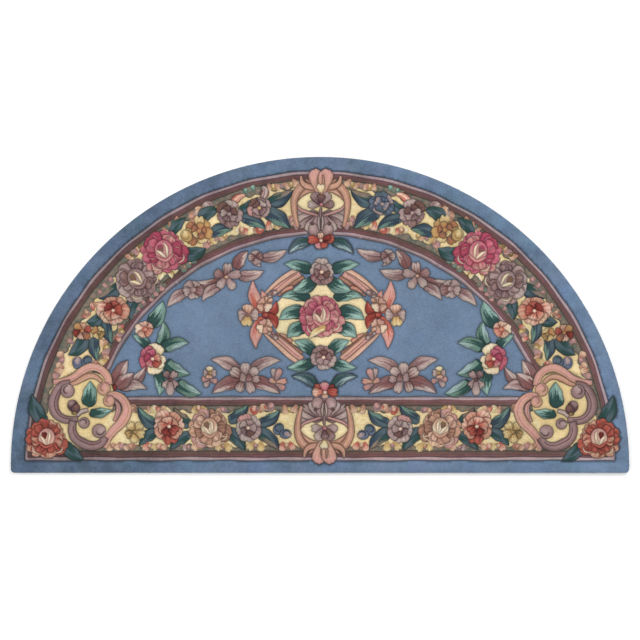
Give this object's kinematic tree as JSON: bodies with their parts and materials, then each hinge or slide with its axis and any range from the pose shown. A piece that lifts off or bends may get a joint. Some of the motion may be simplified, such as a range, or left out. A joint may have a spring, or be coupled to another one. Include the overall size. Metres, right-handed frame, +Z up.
{
  "type": "half-moon hearth rug",
  "caption": "Half-moon carved wool hearth rug: plain blue outer band, floral border between striped lines, blue field with floral sprays and a central flower medallion.",
  "frame": {"origin": "centre of the rug's bounding box at floor level, under the middle of the rug", "axes": "+X along the straight edge to the right, +Y from the straight edge towards the top of the arc, +Z up through the pile"},
  "size_m": [1.37, 0.7, 0.0142],
  "materials": {
    "wool_pile": "dense matt wool pile, sheared flat and carved round its pattern"
  },
  "bodies": {
    "root": {"rug": "wool_pile"}
  },
  "joints": []
}
